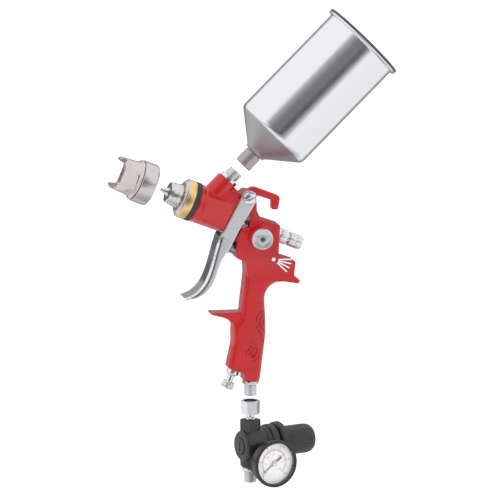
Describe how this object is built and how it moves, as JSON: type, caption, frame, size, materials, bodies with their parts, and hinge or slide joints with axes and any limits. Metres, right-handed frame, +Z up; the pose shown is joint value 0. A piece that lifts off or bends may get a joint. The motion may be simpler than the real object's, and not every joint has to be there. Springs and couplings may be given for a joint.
{
  "type": "hvlp spray gun",
  "caption": "Gravity-feed HVLP spray gun with aluminium paint cup, air cap, trigger, needle and air controls, and an inlet air regulator with gauge.",
  "frame": {"origin": "lower end of the regulator's male inlet thread, on its axis", "axes": "+Z up along the air inlet axis through the grip, -X the way the gun sprays, +Y to the gun's right"},
  "size_m": [0.3064, 0.0944, 0.5017],
  "materials": {
    "red_paint": "glossy",
    "chrome": "polished",
    "nickel": "satin",
    "steel": "machined",
    "spring_steel": "wire",
    "cup_aluminium": "brushed lengthwise",
    "brass": "brushed",
    "black_rubber": "matt",
    "white_seal": "waxy",
    "black_casting": "satin",
    "black_plastic": "moulded",
    "gauge_black": "semi-gloss",
    "dial_white": "matt enamel",
    "window": "clear"
  },
  "bodies": {
    "gun": {"gun_body": "red_paint", "paint_inlet_nipple": "chrome", "air_distribution_ring": "brass", "head_gasket": "black_rubber", "fluid_nozzle": "steel", "needle_packing": "white_seal", "needle_packing_screw": "steel", "needle_guide_nut": "chrome", "needle_spring": "spring_steel", "air_valve_gland": "chrome", "air_valve_packing": "white_seal", "air_valve_seat": "white_seal", "air_valve_spring": "spring_steel", "fan_valve_housing": "chrome", "air_inlet_nipple": "chrome", "air_adjuster_housing": "chrome", "trigger_pivot_sleeve": "steel", "trigger_pivot_screw": "chrome", "trigger_pivot_nut": "chrome"},
    "trigger": {"trigger": "chrome", "trigger_cross_pin": "steel"},
    "needle": {"fluid_needle": "steel", "needle_collar": "steel"},
    "air_valve_stem": {"air_valve_stem": "steel"},
    "fluid_knob": {"fluid_knob": "chrome"},
    "fan_knob": {"fan_knob": "chrome", "fan_knob_screw": "steel", "fan_needle": "steel", "fan_valve_oring": "black_rubber"},
    "air_adjuster_knob": {"air_adjuster_knob": "chrome"},
    "cap_carrier": {"air_cap_snap_ring": "steel"},
    "air_cap": {"air_cap": "nickel", "air_cap_seal": "black_rubber"},
    "air_cap_ring": {"air_cap_ring": "nickel"},
    "cup": {"paint_cup": "cup_aluminium", "cup_neck": "nickel", "cup_gasket": "black_rubber", "cup_filter": "steel"},
    "lid": {"cup_lid": "black_plastic", "lid_vent": "nickel"},
    "regulator": {"regulator_body": "black_casting", "regulator_end_plug": "black_plastic", "regulator_poppet": "brass", "poppet_spring": "spring_steel", "diaphragm": "black_rubber", "regulator_bonnet": "black_plastic", "bonnet_lock_ring": "black_plastic", "spring_button": "steel", "regulator_spring": "spring_steel", "regulator_inlet_nipple": "steel", "swivel_nipple": "chrome", "gauge_case": "gauge_black", "gauge_bezel": "gauge_black", "gauge_dial": "dial_white", "gauge_window": "window", "bourdon_tube": "brass"},
    "swivel_nut": {"swivel_nut": "chrome"},
    "regulator_knob": {"regulator_knob": "black_plastic", "adjusting_screw": "steel"},
    "gauge_pointer": {"gauge_pointer": "gauge_black"}
  },
  "joints": [
    {"name": "trigger_pull", "type": "hinge", "parent": "gun", "child": "trigger", "pos_m": [-0.00424, 0, 0.30734], "axis": [0, -1, 0], "range_deg": [0, 8.5], "stiffness_Nm_per_rad": 3, "springref_deg": -6.88},
    {"name": "needle_pull", "type": "slide", "parent": "gun", "child": "needle", "axis": [0.9205, 0, -0.3907], "range_m": [0, 0.0032], "deforming": ["needle_spring"]},
    {"name": "air_valve_push", "type": "slide", "parent": "gun", "child": "air_valve_stem", "axis": [0.9205, 0, -0.3907], "range_m": [0, 0.0084], "deforming": ["air_valve_spring"]},
    {"name": "fluid_knob_turn", "type": "hinge", "parent": "gun", "child": "fluid_knob", "pos_m": [0.04178, 0, 0.25989], "axis": [0.9205, 0, -0.3907], "range_deg": [0, 1080]},
    {"name": "fan_knob_turn", "type": "hinge", "parent": "gun", "child": "fan_knob", "pos_m": [0.00616, 0, 0.26632], "axis": [0, -1, 0], "range_deg": [0, 540]},
    {"name": "air_adjuster_turn", "type": "hinge", "parent": "gun", "child": "air_adjuster_knob", "pos_m": [-0.018, 0, 0.1224], "axis": [-0.3746, 0, -0.9272], "range_deg": [0, 540]},
    {"name": "air_cap_seat", "type": "slide", "parent": "gun", "child": "cap_carrier", "axis": [0.9205, 0, -0.3907], "range_m": [0, 0.044]},
    {"name": "air_cap_turn", "type": "hinge", "parent": "cap_carrier", "child": "air_cap", "pos_m": [-0.12391, 0, 0.33022], "axis": [0.9205, 0, -0.3907], "range_deg": [-90, 90]},
    {"name": "air_cap_ring_turn", "type": "hinge", "parent": "cap_carrier", "child": "air_cap_ring", "pos_m": [-0.11471, 0, 0.32632], "axis": [0.9205, 0, -0.3907], "continuous": true},
    {"name": "cup_seat", "type": "slide", "parent": "gun", "child": "cup", "axis": [-0.7157, 0, -0.6984], "range_m": [0, 0.0184]},
    {"name": "lid_off", "type": "slide", "parent": "cup", "child": "lid", "axis": [0.7157, 0, 0.6984], "range_m": [0, 0.06]},
    {"name": "regulator_seat", "type": "slide", "parent": "gun", "child": "regulator", "axis": [0, 0, 1], "range_m": [0, 0.0145]},
    {"name": "swivel_nut_turn", "type": "hinge", "parent": "regulator", "child": "swivel_nut", "pos_m": [0, 0, 0.08], "axis": [0, 0, 1], "continuous": true},
    {"name": "regulator_knob_turn", "type": "hinge", "parent": "regulator", "child": "regulator_knob", "pos_m": [0, 0, 0.0396], "axis": [-0.9563, -0.2924, 0], "range_deg": [0, 1440]},
    {"name": "gauge_pointer_turn", "type": "hinge", "parent": "regulator", "child": "gauge_pointer", "pos_m": [0.01045, -0.00099, 0.0254], "axis": [-0.2924, 0.9563, 0], "range_deg": [0, 250]}
  ],
  "couplings": [
    {"joint": "needle_pull", "follows": "trigger_pull", "m_per_rad": 0.0205},
    {"joint": "air_valve_push", "follows": "trigger_pull", "m_per_rad": 0.0555},
    {"joint": "gauge_pointer_turn", "follows": "regulator_knob_turn", "ratio": 0.17361}
  ]
}
